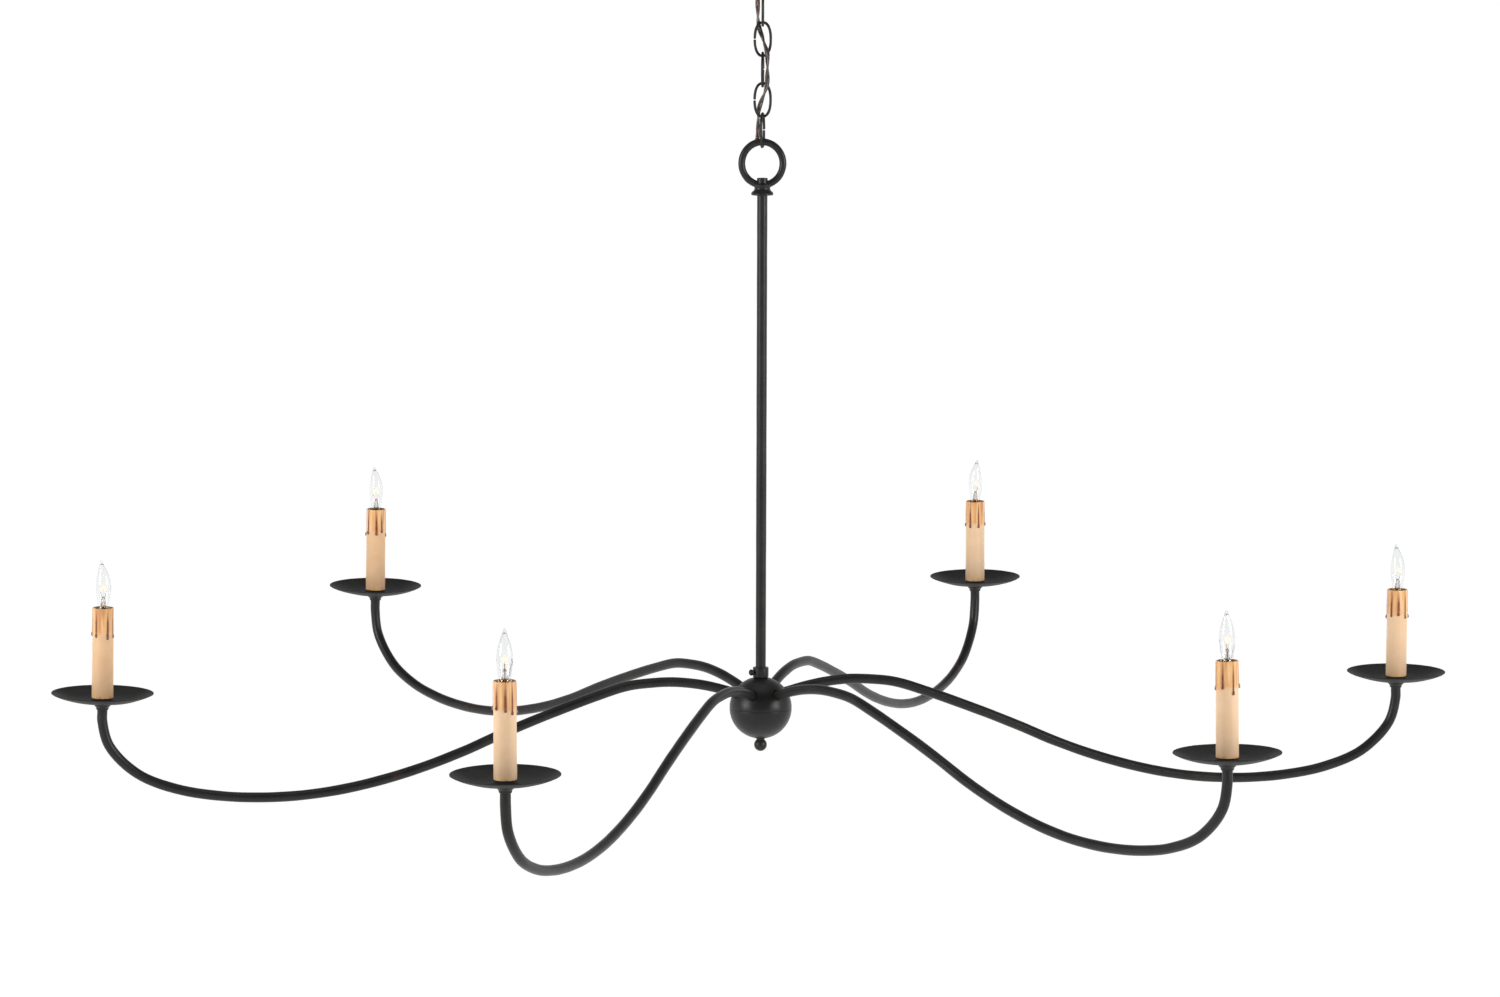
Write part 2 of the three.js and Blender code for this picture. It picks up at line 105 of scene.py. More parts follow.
PAN = {"radius": 0.055, "wall": 0.0013, "hole": 0.0059}
SLEEVE = {"top": 0.0963, "bottom": -0.0016, "top_radius": 0.0112, "bottom_radius": 0.01165, "bore": 0.0102}
BULB = {"cap": 0.0058, "cap_bottom": 0.071, "belly_at": 0.118, "tip": 0.1478, "bend": 0.003}
GLASS_WALL = 0.0009

# Route of the supply cord in the hub's heights, out of the hang loop, woven down through the chain,
# behind the left side of the top loop and into the hole in the back of its foot.
CORD_STRAND = 0.00135  # radius of each of its two cores
CORD_LAY = 0.058  # length of one turn of the twist
CORD_ROUTE = [
    (0, 0, 0.810), (0, 0, 0.803), (-0.0003, 0.0013, 0.798),
    (-0.0018, 0.0043, 0.793), (-0.0040, 0.0065, 0.788), (-0.0054, 0.0070, 0.782),
    (-0.0057, 0.0068, 0.775), (-0.0054, 0.0056, 0.767), (-0.0051, 0.0049, 0.756),
    (-0.0038, 0.0044, 0.748), (-0.0006, 0.0016, 0.739), (0.0020, -0.0018, 0.7310),
    (0.0048, -0.0048, 0.7210), (0.0051, -0.0053, 0.7110), (0.0051, -0.0050, 0.7000),
    (0.0049, -0.0050, 0.6890), (0.0024, -0.0022, 0.679), (-0.0017, 0.0015, 0.668),
    (-0.0044, 0.0049, 0.6570), (-0.0046, 0.0058, 0.6480), (-0.0046, 0.0068, 0.6390),
    (-0.0048, 0.0074, 0.6325), (-0.0064, 0.0076, 0.6268), (-0.0102, 0.0076, 0.6224),
    (-0.0150, 0.0075, 0.6180), (-0.0194, 0.0074, 0.6118), (-0.0220, 0.0074, 0.6025),
    (-0.0212, 0.0076, 0.592), (-0.0170, 0.0090, 0.583), (-0.0098, 0.0124, 0.577),
    (-0.0030, 0.0130, 0.5756), (0, 0.0102, 0.5756), (0, 0.0050, 0.5756),
]

CAMERA = {"lens": 129.96, "sensor": 36, "place": (-0.0124, -5.904, 0.144), "pitch": 0.1274, "roll": 0.003}
FLOOR = {"height": -5.5, "half": 260}
SHARP = math.radians(40)  # corners over this angle keep their edge


# ---------- geometry helpers ----------
def circle(count):
    """Evenly spaced angles round a circle."""
    return [2 * math.pi * i / count for i in range(count)]


def turned_by(degrees):
    """A turn about Z."""
    return Matrix.Rotation(math.radians(degrees), 4, "Z")


def spline(points, per_span):
    """A smooth centripetal curve through points, with per_span steps between neighbours."""
    points = [Vector(p) for p in points]
    padded = [2 * points[0] - points[1], *points, 2 * points[-1] - points[-2]]
    made = []
    for p0, p1, p2, p3 in zip(padded, padded[1:], padded[2:], padded[3:]):
        d0, d1, d2 = (math.sqrt((b - a).length) for a, b in ((p0, p1), (p1, p2), (p2, p3)))
        out = ((p1 - p0) / d0 - (p2 - p0) / (d0 + d1) + (p2 - p1) / d1) * d1
        into = ((p2 - p1) / d1 - (p3 - p1) / (d1 + d2) + (p3 - p2) / d2) * d1
        square = -3 * p1 + 3 * p2 - 2 * out - into
        cube = 2 * p1 - 2 * p2 + out + into
        for k in range(per_span):
            t = k / per_span
            made.append(p1 + out * t + square * t * t + cube * t**3)
    return [*made, points[-1]]


def spline_profile(points, per_span):
    """The same curve through (radius, height) points, kept off the far side of the axis."""
    curve = spline([(r, 0, z) for r, z in points], per_span)
    return [(max(p.x, 0), p.z) for p in curve]


def rounded(corners, steps=4):
    """A profile from corners (radius, height) or (radius, height, cut), rounded where cut is given."""
    made = []
    for i, corner in enumerate(corners):
        if len(corner) == 2:
            made.append(corner)
            continue
        at = Vector(corner[:2])
        before = Vector(corners[i - 1][:2]) - at
        after = Vector(corners[(i + 1) % len(corners)][:2]) - at
        first = at + before.normalized() * min(corner[2], before.length * 0.48)
        last = at + after.normalized() * min(corner[2], after.length * 0.48)
        for k in range(steps + 1):
            t = k / steps
            made.append(tuple((1 - t) ** 2 * first + 2 * t * (1 - t) * at + t * t * last))
    return made


def lathe(profile, sides, shape=None):
    """Vertices and faces of a profile turned about Z, closed on itself where it leaves the axis open.

    shape(radius, height, angle) gives another radius, for flats, grips and threads."""
    vertices, rings = [], []
    for r, z in profile:
        if r < 1e-7:
            rings.append([len(vertices)] * sides)
            vertices.append((0, 0, z))
            continue
        rings.append(list(range(len(vertices), len(vertices) + sides)))
        for i in range(sides):
            a = 2 * math.pi * i / sides
            at = shape(r, z, a) if shape else r
            vertices.append((at * math.cos(a), at * math.sin(a), z))
    pairs = list(zip(rings, rings[1:]))
    if profile[0][0] > 1e-7 and profile[-1][0] > 1e-7:
        pairs.append((rings[-1], rings[0]))
    faces = []
    for lower, upper in pairs:
        for i in range(sides):
            j = (i + 1) % sides
            corners = dict.fromkeys((lower[i], lower[j], upper[j], upper[i]))
            if len(corners) > 2:
                faces.append(tuple(corners))
    return vertices, faces


def frames_along(points, closed=False):
    """For each point its way along the curve and a side vector that turns as little as possible."""
    count = len(points)
    ways = []
    for i in range(count):
        before = points[i - 1] if closed or i else points[i]
        after = points[(i + 1) % count] if closed or i < count - 1 else points[i]
        ways.append((after - before).normalized())
    side = ways[0].orthogonal().normalized()
    sides = []
    for way in ways:
        side = (side - way * side.dot(way)).normalized()
        sides.append(side)
    return list(zip(ways, sides))


def sweep(points, radius, sides, closed=False, dome=0.0, flat=1.0):
    """A round rod along points. An open one ends in domes that stand dome radii past its ends.

    flat below 1 squeezes the section across the side vector."""
    steps = frames_along(points, closed)
    rings = [(p, radius, *steps[i]) for i, p in enumerate(points)]
    if not closed:
        swell = [math.radians(a) for a in (72, 48, 24)]
        for end, sign in ((0, -1), (-1, 1)):
            at, _, way, side = rings[end]
            more = [
                (at + way * sign * dome * radius * math.sin(a), radius * math.cos(a), way, side)
                for a in swell
            ]
            rings = more + rings if sign < 0 else rings + more[::-1]
    vertices = []
    for at, r, way, side in rings:
        up = way.cross(side)
        for i in range(sides):
            a = 2 * math.pi * i / sides
            vertices.append(at + side * r * math.cos(a) + up * r * flat * math.sin(a))
    count = len(rings)
    faces = []
    for k in range(count if closed else count - 1):
        for i in range(sides):
            j = (i + 1) % sides
            a, b = k * sides, (k + 1) % count * sides
            faces.append((a + i, a + j, b + j, b + i))
    if not closed:
        faces.append(tuple(reversed(range(sides))))
        faces.append(tuple(range((count - 1) * sides, count * sides)))
    return vertices, faces


def joined(*parts):
    """Several (vertices, faces) as one."""
    vertices, faces = [], []
    for more_vertices, more_faces in parts:
        start = len(vertices)
        vertices += [tuple(v) for v in more_vertices]
        faces += [tuple(start + i for i in f) for f in more_faces]
    return vertices, faces


def moved(part, matrix):
    """The part with its vertices moved by a matrix."""
    vertices, faces = part
    return [matrix @ Vector(v) for v in vertices], faces


def mesh_object(name, part, matrix=None):
    """A smooth mesh object of the part, moved by the matrix and linked to the scene."""
    vertices, faces = moved(part, matrix) if matrix else part
    mesh = bpy.data.meshes.new(name)
    mesh.from_pydata([tuple(v) for v in vertices], [], faces)
    mesh.validate()
    made = bpy.data.objects.new(name, mesh)
    bpy.context.scene.collection.objects.link(made)
    finish_mesh(made)
    return made


def finish_mesh(made):
    """Outward normals and smooth shading with sharp corners."""
    work = bmesh.new()
    work.from_mesh(made.data)
    bmesh.ops.recalc_face_normals(work, faces=work.faces)
    work.to_mesh(made.data)
    work.free()
    made.data.shade_smooth()
    made.data.set_sharp_from_angle(angle=SHARP)


def applied(made, *modifiers):
    """Applies modifiers, each (type, settings), to the object's mesh."""
    for kind, settings in modifiers:
        modifier = made.modifiers.new(kind.lower(), kind)
        for key, value in settings.items():
            setattr(modifier, key, value)
    graph = bpy.context.evaluated_depsgraph_get()
    shaped = bpy.data.meshes.new_from_object(made.evaluated_get(graph))
    made.modifiers.clear()
    made.data = shaped
    finish_mesh(made)


def fill_joins(made, passes):
    """Runs crossing parts into one skin, as a casting's are, and smooths it in some passes."""
    fill = ("REMESH", {"mode": "VOXEL", "voxel_size": 0.0005})
    applied(made, fill, ("SMOOTH", {"factor": 0.5, "iterations": passes}))


def hammered(made, depth, size, seed):
    """Moves the surface in and out along its normals in soft dents about size across."""
    mesh = made.data
    shift = Vector((seed * 7.3, seed * 3.1, seed * 5.7))
    places = np.empty(3 * len(mesh.vertices))
    normals = np.empty_like(places)
    mesh.vertices.foreach_get("co", places)
    mesh.vertex_normals.foreach_get("vector", normals)
    places, normals = places.reshape(-1, 3), normals.reshape(-1, 3)
    push = np.array([depth * noise.noise(Vector(p) / size + shift) for p in places])
    mesh.vertices.foreach_set("co", (places + normals * push[:, None]).ravel())
    mesh.update()


def dressed(made, body, material, slot, *nodes):
    """Gives the piece its material and puts it on its body in the CAD nodes' stead. The slot is not used."""
    made.data.materials.append(material)
    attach(made, body)
    if nodes:
        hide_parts(*nodes)
    return made


# ---------- material helpers ----------
class Shader:
    """One material's node tree, built round a Principled shader."""

    def __init__(self, name):
        self.material = bpy.data.materials.new(name)
        self.material.use_nodes = True
        self.tree = self.material.node_tree
        self.main = self.tree.nodes["Principled BSDF"]
        self.place = self.node("ShaderNodeTexCoord").outputs["Object"]

    def node(self, kind, **settings):
        """A new node with its settings."""
        made = self.tree.nodes.new(kind)
        for key, value in settings.items():
            setattr(made, key, value)
        return made

    def feed(self, socket, value):
        """Links an output to the socket, or sets a plain value on it."""
        if isinstance(value, bpy.types.NodeSocket):
            self.tree.links.new(value, socket)
        else:
            socket.default_value = value

    def set(self, **values):
        """Feeds the shader's own sockets, named with _ for a space."""
        for key, value in values.items():
            self.feed(self.main.inputs[key.replace("_", " ")], value)

    def stretched(self, scale):
        """The place, scaled by three numbers."""
        made = self.node("ShaderNodeMapping")
        self.feed(made.inputs["Vector"], self.place)
        made.inputs["Scale"].default_value = scale
        return made.outputs["Vector"]

    def noise(self, scale, detail=3, rough=0.5, place=None):
        """Soft noise from 0 to 1, with scale waves to the metre."""
        made = self.node("ShaderNodeTexNoise")
        self.feed(made.inputs["Vector"], place or self.place)
        made.inputs["Scale"].default_value = scale
        made.inputs["Detail"].default_value = detail
        made.inputs["Roughness"].default_value = rough
        return made.outputs["Fac"]

    def attribute(self, name):
        """A value kept on the mesh's own points."""
        return self.node("ShaderNodeAttribute", attribute_name=name).outputs["Fac"]

    def ramp(self, value, *stops):
        """A colour or grey for each stop (position, colour)."""
        made = self.node("ShaderNodeValToRGB")
        self.feed(made.inputs["Fac"], value)
        elements = made.color_ramp.elements
        while len(elements) < len(stops):
            elements.new(0.5)
        for element, (at, colour) in zip(elements, stops):
            element.position = at
            element.color = (*colour, 1) if isinstance(colour, tuple) else (colour,) * 3 + (1,)
        return made.outputs["Color"]

    def mix(self, share, first, second):
        """A colour between two colours."""
        made = self.node("ShaderNodeMix", data_type="RGBA")
        self.feed(made.inputs[0], share)
        for socket, value in ((made.inputs[6], first), (made.inputs[7], second)):
            self.feed(socket, (*value, 1) if isinstance(value, tuple) else value)
        return made.outputs[2]

    def between(self, value, low, high):
        """Maps a value from 0 to 1 onto low to high."""
        made = self.node("ShaderNodeMapRange")
        self.feed(made.inputs["Value"], value)
        made.inputs["To Min"].default_value = low
        made.inputs["To Max"].default_value = high
        return made.outputs["Result"]

    def sum(self, first, second, operation="ADD"):
        """The sum of two values, or what another operation makes of them."""
        made = self.node("ShaderNodeMath", operation=operation)
        self.feed(made.inputs[0], first)
        self.feed(made.inputs[1], second)
        return made.outputs[0]

    def bump(self, *layers):
        """Stacks (height, distance, strength) layers of relief on the shader."""
        normal = None
        for height, distance, strength in layers:
            made = self.node("ShaderNodeBump")
            self.feed(made.inputs["Height"], height)
            made.inputs["Distance"].default_value = distance
            made.inputs["Strength"].default_value = strength
            if normal:
                self.feed(made.inputs["Normal"], normal)
            normal = made.outputs["Normal"]
        self.feed(self.main.inputs["Normal"], normal)


# ---------- materials ----------
def iron_material(name, gloss, rough):
    """Forged iron under a rubbed black wax finish, warm brown where it is worn through."""
    s = Shader(name)
    mottle = s.noise(38, 5, 0.6)
    grain = s.noise(900, 3)
    black = s.ramp(
        mottle,
        (0.30, (0.0115, 0.0114, 0.0118)), (0.52, (0.0160, 0.0157, 0.0155)),
        (0.74, (0.0235, 0.0225, 0.0205)),
    )
    worn = s.ramp(s.noise(11, 6, 0.62), (0.66, 0.0), (0.74, 0.55))
    s.set(
        Base_Color=s.mix(worn, black, (0.085, 0.036, 0.024)),
        Metallic=0.1,
        Specular_IOR_Level=gloss,
        Roughness=s.between(s.sum(mottle, grain, "MULTIPLY"), rough, rough + 0.24),
    )
    s.bump((s.noise(150, 2), 0.0005, 0.25), (grain, 0.00012, 0.25))
    return s.material


def steel_material():
    """Zinc-plated steel with fine turning marks."""
    s = Shader("plated_steel")
    cloud = s.noise(60, 4)
    marks = s.noise(260, 2, place=s.stretched((1, 1, 12)))
    s.set(
        Base_Color=s.ramp(cloud, (0.3, (0.33, 0.33, 0.31)), (0.7, (0.50, 0.50, 0.47))),
        Metallic=0.9,
        Roughness=s.between(marks, 0.28, 0.5),
    )
    s.bump((marks, 0.00008, 0.5))
    return s.material


def wax_material(name, body, shade):
    """An ivory candle tube glazed amber round the top, with runs of darker glossy wax."""
    s = Shader(name)
    stain = s.attribute("stain")
    run = s.attribute("run")
    streak = s.noise(240, 4, place=s.stretched((1, 1, 0.08)))
    cloud = s.noise(55, 3)
    ivory = s.mix(s.between(cloud, 0.0, 0.9), body, shade)
    amber = s.ramp(
        streak,
        (0.36, (0.60, 0.270, 0.096)), (0.50, (0.79, 0.420, 0.170)), (0.66, (0.91, 0.585, 0.285)),
    )
    glazed = s.mix(stain, ivory, amber)
    wax = s.ramp(s.noise(420, 2), (0.35, (0.13, 0.030, 0.008)), (0.7, (0.26, 0.072, 0.020)))
    s.set(
        Base_Color=s.mix(run, glazed, wax),
        Roughness=s.between(s.sum(stain, run, "MAXIMUM"), 0.46, 0.2),
        Subsurface_Weight=0.12,
        Subsurface_Radius=(0.004, 0.002, 0.001),
        Subsurface_Scale=0.5,
        Coat_Weight=0.15,
        Coat_Roughness=0.2,
    )
    s.bump((streak, 0.0001, 0.4), (cloud, 0.0002, 0.3))
    return s.material


def glass_material():
    """Clear lamp glass with the faintest wave in it."""
    s = Shader("lamp_glass")
    wave = s.noise(90, 2)
    s.set(
        Base_Color=s.mix(s.between(wave, 0.0, 1.0), (1.0, 1.0, 1.0), (0.985, 0.99, 0.98)),
        Roughness=s.between(wave, 0.0, 0.03),
        IOR=1.46,
        Transmission_Weight=1.0,
    )
    s.bump((wave, 0.00015, 0.2))
    depth = s.node("ShaderNodeVolumeAbsorption")
    depth.inputs["Color"].default_value = (0.2, 0.28, 0.36, 1)
    depth.inputs["Density"].default_value = 62
    s.tree.links.new(depth.outputs["Volume"], s.tree.nodes["Material Output"].inputs["Volume"])
    return s.material


def glow_material():
    """White-hot tungsten, yellower where the coil is cooler."""
    s = Shader("filament_glow")
    heat = s.noise(900, 2)
    s.set(
        Base_Color=s.ramp(heat, (0.3, (0.9, 0.5, 0.2)), (0.7, (1.0, 0.8, 0.5))),
        Emission_Color=s.ramp(heat, (0.3, (1.0, 0.42, 0.12)), (0.7, (1.0, 0.60, 0.27))),
        Emission_Strength=2.2,
        Roughness=0.6,
    )
    return s.material


def mottled_material(name, scale, dark, light, rough, metallic=0.0):
    """A finish that clouds from dark to light, each (place, colour), and from one roughness to another."""
    s = Shader(name)
    cloud = s.noise(scale, 4)
    s.set(Base_Color=s.ramp(cloud, dark, light), Metallic=metallic, Roughness=s.between(cloud, *rough))
    return s, cloud


def brass_material():
    """Brass of the lamp caps and lead wires, a little tarnished."""
    dark, light = (0.35, (0.36, 0.14, 0.06)), (0.65, (0.66, 0.34, 0.15))
    s, tarnish = mottled_material("lamp_brass", 300, dark, light, (0.42, 0.2), 1.0)
    s.bump((tarnish, 0.00005, 0.3))
    return s.material


def phenolic_material():
    """Moulded dark phenolic of the lamp sockets."""
    dark, light = (0.35, (0.010, 0.008, 0.007)), (0.7, (0.024, 0.018, 0.015))
    s, _ = mottled_material("phenolic", 120, dark, light, (0.32, 0.5))
    s.bump((s.noise(1400, 2), 0.00004, 0.4))
    return s.material


def cord_material():
    """Clear brown cord jacket, with the copper core showing through in slanting lines."""
    s = Shader("cord_jacket")
    split = s.node("ShaderNodeSeparateXYZ")
    s.feed(split.inputs["Vector"], s.node("ShaderNodeUVMap").outputs["UV"])
    lay = s.sum(split.outputs["X"], s.between(s.noise(45, 2), -0.03, 0.03))
    smoke = s.noise(160, 3)
    dark = s.ramp(smoke, (0.3, (0.024, 0.020, 0.018)), (0.7, (0.046, 0.036, 0.031)))
    copper = s.ramp(lay, (0.15, 0.0), (0.22, 1.0), (0.44, 1.0), (0.52, 0.0))
    s.set(
        Base_Color=s.mix(copper, dark, (0.62, 0.20, 0.105)),
        Roughness=s.between(smoke, 0.22, 0.38),
        Coat_Weight=0.5,
        Coat_Roughness=0.12,
        Subsurface_Weight=0.15,
        Subsurface_Radius=(0.002, 0.0006, 0.0003),
        Subsurface_Scale=0.5,
    )
    s.bump((smoke, 0.00008, 0.3))
    return s.material


def wire_material():
    """Dull dark insulation of the leads inside."""
    dark, light = (0.3, (0.012, 0.012, 0.012)), (0.75, (0.035, 0.034, 0.032))
    s, dust = mottled_material("lead_insulation", 220, dark, light, (0.45, 0.65))
    s.bump((dust, 0.00008, 0.3))
    return s.material


def floor_material():
    """A plain pale studio sweep, lit from below so that it stays white."""
    s = Shader("studio_floor")
    s.set(
        Base_Color=s.ramp(s.noise(0.4, 2), (0.3, (0.86, 0.86, 0.86)), (0.7, (0.90, 0.90, 0.90))),
        Roughness=0.85,
        Emission_Color=(1.0, 1.0, 1.0, 1.0),
        Emission_Strength=0.78,
    )
    return s.material


IRON = iron_material("black_iron", 0.27, 0.30)
DULL_IRON = iron_material("dull_black_iron", 0.17, 0.50)
STEEL = steel_material()
GLASS = glass_material()
GLOW = glow_material()
BRASS = brass_material()
PHENOLIC = phenolic_material()
CORD = cord_material()
WIRE = wire_material()
# Two tints of candle, as the hand-dipped tubes differ.
PALE_WAX = wax_material("candle_pale", (0.87, 0.615, 0.39), (0.77, 0.49, 0.278))
TAN_WAX = wax_material("candle_tan", (0.84, 0.55, 0.31), (0.68, 0.40, 0.205))
TAN_CANDLES = (3, 4)


# ---------- camera ----------
def set_camera():
    """A long lens, nearly level with the chain, looking slightly down on the arms."""
    lens = bpy.data.cameras.new("camera")
    lens.lens = CAMERA["lens"]
    lens.sensor_width = CAMERA["sensor"]
    lens.clip_end = 500
    camera = bpy.data.objects.new("camera", lens)
    tilt = Matrix.Rotation(math.pi / 2 - CAMERA["pitch"], 4, "X")
    turn = tilt @ Matrix.Rotation(CAMERA["roll"], 4, "Z")
    camera.matrix_world = Matrix.Translation(CAMERA["place"]) @ turn
    bpy.context.scene.collection.objects.link(camera)
    bpy.context.scene.camera = camera


# ---------- supply cord ----------
def cord_segment(name, spine, start, stop, whole):
    """Both twisted cores between two places on the spine, with UVs along and around them."""
    twist = 2 * math.pi / CORD_LAY
    parts, uvs = [], []
    sides, dome_rings, uv_per_metre = 10, 3, 40
    for half in (0, math.pi):
        points = []
        for i in range(start, stop + 1):
            at, (way, side), along = spine[i], whole["frames"][i], whole["lengths"][i]
            a = twist * along + half
            points.append(at + (side * math.cos(a) + way.cross(side) * math.sin(a)) * CORD_STRAND)
        first, last = start == 0, stop == len(spine) - 1
        parts.append(sweep(points, CORD_STRAND * 0.99, sides, dome=0.4 if first or last else 0.02))
        rows = [whole["lengths"][i] for i in range(start, stop + 1)]
        rows = [rows[0]] * dome_rings + rows + [rows[-1]] * dome_rings
        # Only the first core has its copper near enough to the surface to show.
        around = 1.0 if half == 0 else 0.1
        uvs += [(around * k / sides, length * uv_per_metre) for length in rows for k in range(sides)]
    made = mesh_object(name, joined(*parts))
    layer = made.data.uv_layers.new(name="lay")
    for loop in made.data.loops:
        layer.data[loop.index].uv = uvs[loop.vertex_index]
    return made


def make_cord():
    """The cord in six stretches, cut at the heights of the middles of the chain's links."""
    spine = spline([Vector((x, y, z + HUB)) for x, y, z in CORD_ROUTE], 7)
    lengths = [0.0]
    for a, b in zip(spine, spine[1:]):
        lengths.append(lengths[-1] + (b - a).length)
    whole = {"frames": frames_along(spine), "lengths": lengths}
    centres = [TOP_LINK - k * LINK["pitch"] for k in range(len(LINKS))]
    cuts = [0]
    for height in centres:
        cuts.append(min(range(len(spine)), key=lambda i: abs(spine[i].z - height)))
    cuts.append(len(spine) - 1)
    for k, (start, stop) in enumerate(zip(cuts, cuts[1:])):
        made = cord_segment(f"cord_{k + 1}", spine, start, stop, whole)
        made.data.materials.append(CORD)
        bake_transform(made)
        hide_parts("supply_cord")


# ---------- ceiling parts ----------
def make_canopy():
    r, depth, wall = CANOPY["radius"], CANOPY["depth"], CANOPY["wall"]
    outer = spline_profile(
        [
            (CANOPY["hole"] + 0.006, -depth - wall), (r * 0.42, -depth - wall * 0.94),
            (r * 0.74, -depth * 0.84 - wall), (r * 0.955, -depth * 0.45), (r, CANOPY["rim"] - 0.0022),
        ],
        10,
    )
    inner = [(max(x - wall * 0.7, CANOPY["hole"]), z + wall) for x, z in reversed(outer)]
    inner[0] = (r - wall, CANOPY["rim"])
    profile = rounded([(CANOPY["hole"], -depth - wall, 0.0006)]) + outer
    profile += rounded([(r + 0.0004, CANOPY["rim"] - 0.0008, 0.0004), (r, CANOPY["rim"], 0.0004)])
    profile += inner + [(CANOPY["hole"], -depth)]
    made = mesh_object("canopy_shell", lathe(profile, 96))
    hammered(made, depth=0.00012, size=0.012, seed=1)
    dressed(made, "canopy", IRON, "iron", "canopy")


def make_crossbar():
    """A flat bar with rounded ends, a middle hole for the nipple and a screw hole each side."""
    half_length, half_width = CROSSBAR["length"] / 2, CROSSBAR["width"] / 2
    bevel = 0.0004
    curve = bpy.data.curves.new("bar_outline", "CURVE")
    curve.dimensions = "2D"
    curve.fill_mode = "BOTH"
    curve.extrude = CROSSBAR["thickness"] / 2 - bevel
    curve.bevel_depth = bevel
    curve.bevel_resolution = 2

    def outline(points):
        line = curve.splines.new("POLY")
        line.points.add(len(points) - 1)
        for place, (x, y) in zip(line.points, points):
            place.co = (x, y, 0, 1)
        line.use_cyclic_u = True

    corner = 0.006
    outline(
        [
            (sx * (half_length - corner - bevel) + corner * math.cos(a),
             sy * (half_width - corner - bevel) + corner * math.sin(a))
            for sx, sy, quarter in ((1, 1, 0), (-1, 1, 1), (-1, -1, 2), (1, -1, 3))
            for a in (math.pi / 2 * (quarter + k / 6) for k in range(7))
        ]
    )
    for x, r in ((0, CROSSBAR["hole"]), (0.035, CROSSBAR["slot"]), (-0.035, CROSSBAR["slot"])):
        outline([(x + (r + bevel) * math.cos(a), (r + bevel) * math.sin(a)) for a in circle(32)])
    source = bpy.data.objects.new("bar_outline", curve)
    bpy.context.scene.collection.objects.link(source)
    graph = bpy.context.evaluated_depsgraph_get()
    mesh = bpy.data.meshes.new_from_object(source.evaluated_get(graph))
    bpy.data.objects.remove(source)
    mesh.transform(Matrix.Translation((0, 0, -CROSSBAR["thickness"] / 2)))
    made = bpy.data.objects.new("mounting_bar", mesh)
    bpy.context.scene.collection.objects.link(made)
    finish_mesh(made)
    mesh.materials.clear()
    dressed(made, "ceiling_mount", STEEL, "steel", "crossbar")


def make_nipple():
    """A threaded pipe."""
    bottom, top, pitch = NIPPLE["bottom"], NIPPLE["top"], NIPPLE["pitch"]
    rows = int((top - bottom) / pitch * 6)
    thread = [(NIPPLE["radius"], bottom + (top - bottom) * k / rows) for k in range(rows + 1)]

    def shape(r, z, a):
        if r < NIPPLE["radius"]:
            return r
        turn = (z / pitch + a / (2 * math.pi)) % 1
        return r - 0.0004 * abs(2 * turn - 1)

    profile = [(NIPPLE["bore"], bottom), *thread, (NIPPLE["bore"], top)]
    made = mesh_object("threaded_nipple", lathe(profile, 36, shape))
    dressed(made, "ceiling_mount", STEEL, "steel", "nipple")


def make_nut():
    """A hexagon nut with its corners turned off."""
    apothem = NUT["across_flats"] / 2
    top = -CROSSBAR["thickness"] - GAP
    bottom = top - NUT["height"]

    def shape(r, z, a):
        if r < apothem * 0.8:
            return r
        near = (a + math.pi / 6) % (math.pi / 3) - math.pi / 6
        flat = apothem / math.cos(near)
        depth = min(z - bottom, top - z)
        return min(flat, apothem * 1.03 + depth * 2.2) * r / apothem

    bore = NIPPLE["radius"] + GAP
    rows = [(apothem, bottom + NUT["height"] * k / 12) for k in range(13)]
    made = mesh_object("lock_nut", lathe([(bore, bottom), *rows, (bore, top)], 72, shape))
    dressed(made, "ceiling_mount", STEEL, "steel", "nipple_nut")


def make_hang_loop():
    """A cast foot with a hanging eye, its joins filled as the casting's are."""
    base, bottom, top = HANG_LOOP["base"], HANG_LOOP["bottom"], HANG_LOOP["top"]
    socket_bottom = NIPPLE["bottom"] - GAP
    socket_radius = NIPPLE["radius"] + GAP
    foot = lathe(
        rounded(
            [
                (HANG_LOOP["bore"], bottom + 0.004), (HANG_LOOP["mouth"], bottom),
                (base - 0.003, bottom, 0.001), (base, bottom + 0.003, 0.0014), (base, top, 0.0008),
                (socket_radius, top), (socket_radius, socket_bottom),
                (HANG_LOOP["bore"], socket_bottom),
            ]
        ),
        64,
    )
    eye_radius, centre = HANG_EYE["radius"], HANG_EYE["centre"]
    bow = [(0.0086, 0, bottom + 0.003), (0.0090, 0, bottom - 0.003)]  # down one side, round and up
    bow += [
        (eye_radius * math.cos(a), 0, centre + eye_radius * math.sin(a))
        for a in (math.radians(10 - 200 * k / 16) for k in range(17))
    ]
    bow += [(-0.0090, 0, bottom - 0.003), (-0.0086, 0, bottom + 0.003)]
    eye = sweep(spline(bow, 4), HANG_EYE["wire"], 16, dome=0.3)
    made = mesh_object("hang_loop_casting", joined(foot, eye))
    fill_joins(made, 4)
    hammered(made, depth=0.00010, size=0.006, seed=2)
    dressed(made, "ceiling_mount", IRON, "iron", "hang_loop")


